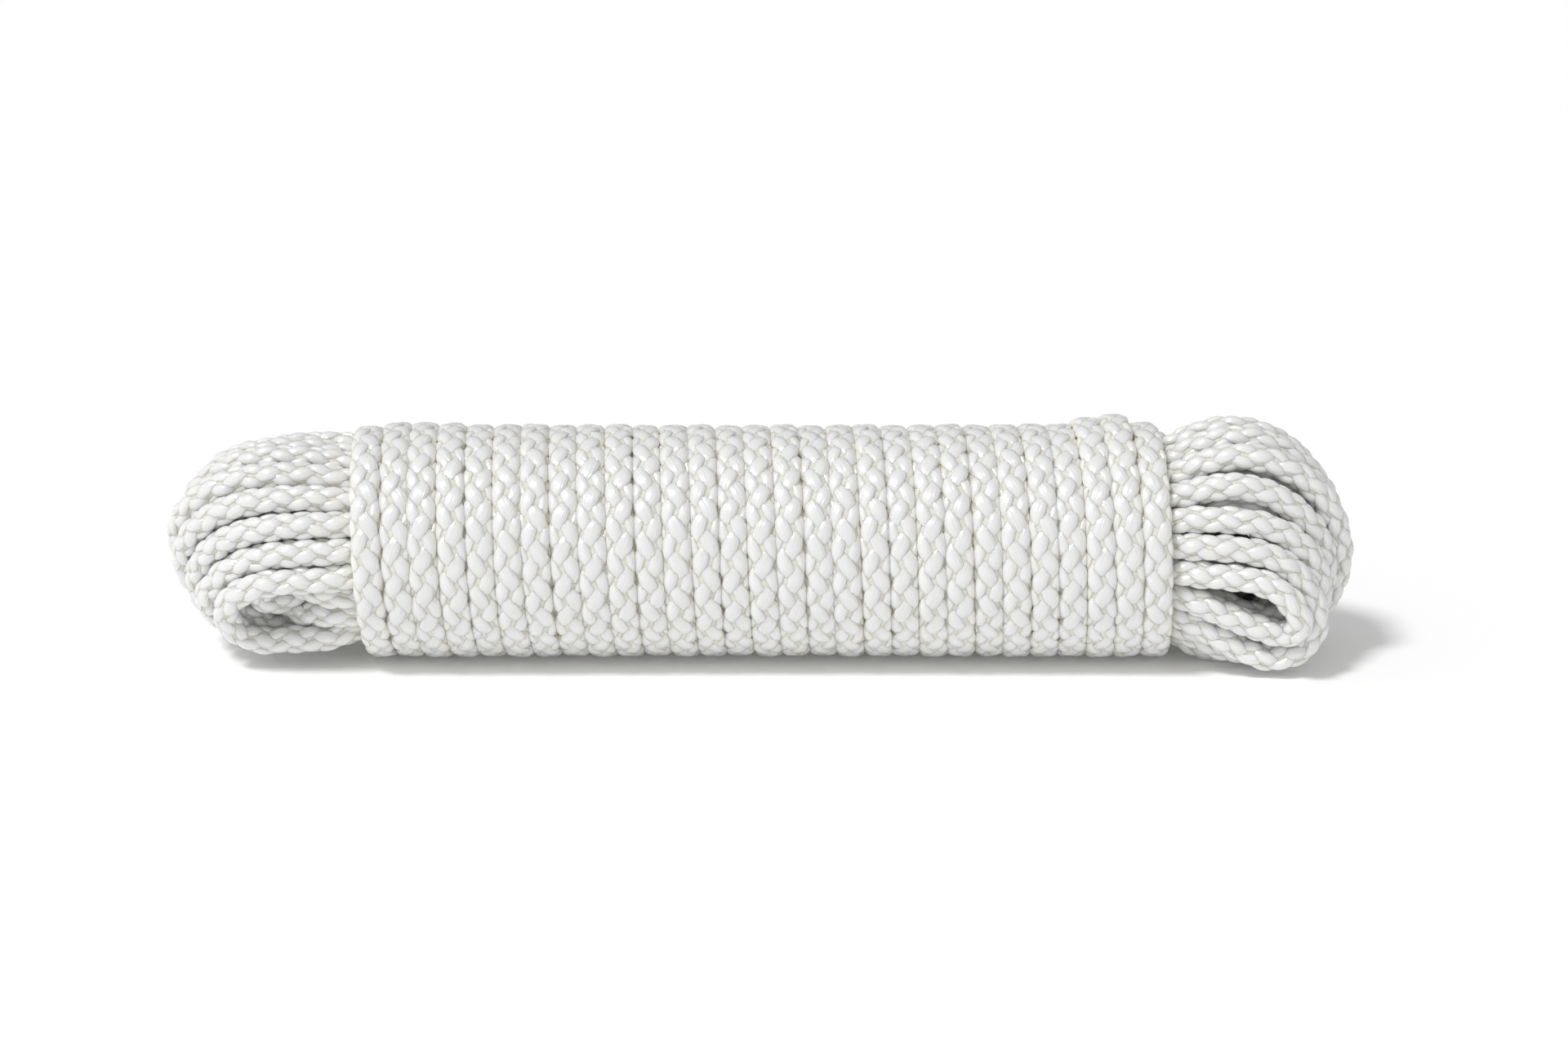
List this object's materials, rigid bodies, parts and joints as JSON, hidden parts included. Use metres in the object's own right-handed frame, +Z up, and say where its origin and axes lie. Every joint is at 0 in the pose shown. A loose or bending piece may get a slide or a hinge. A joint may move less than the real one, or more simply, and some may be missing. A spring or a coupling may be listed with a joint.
{
  "type": "dock line hank",
  "caption": "Hank of braided white rope, folded lengthwise into nested end loops and wrapped tightly round its middle, for mooring, lashing or storage on deck.",
  "frame": {"origin": "on the surface that the hank lies on, below the middle of its box", "axes": "+X along the hank towards the end with the shorter loops, -Y the front, where the end loops' eyes show, +Z up"},
  "size_m": [0.273, 0.0546, 0.0543],
  "materials": {
    "rope_braid": "glossy white filament nylon, diamond braid",
    "melted_end": "heat-sealed nylon, smooth and slightly yellowed"
  },
  "bodies": {
    "root": {"starting_end_seal": "melted_end", "starting_tail": "rope_braid", "folded_runs": "rope_braid", "left_inner_loops": "rope_braid", "left_middle_loops": "rope_braid", "left_outer_loops": "rope_braid", "right_inner_loops": "rope_braid", "right_middle_loops": "rope_braid", "right_outer_loops": "rope_braid", "wrap_lead_in": "rope_braid", "wrap_turns": "rope_braid", "finishing_tail": "rope_braid", "finishing_end_seal": "melted_end"}
  },
  "joints": []
}
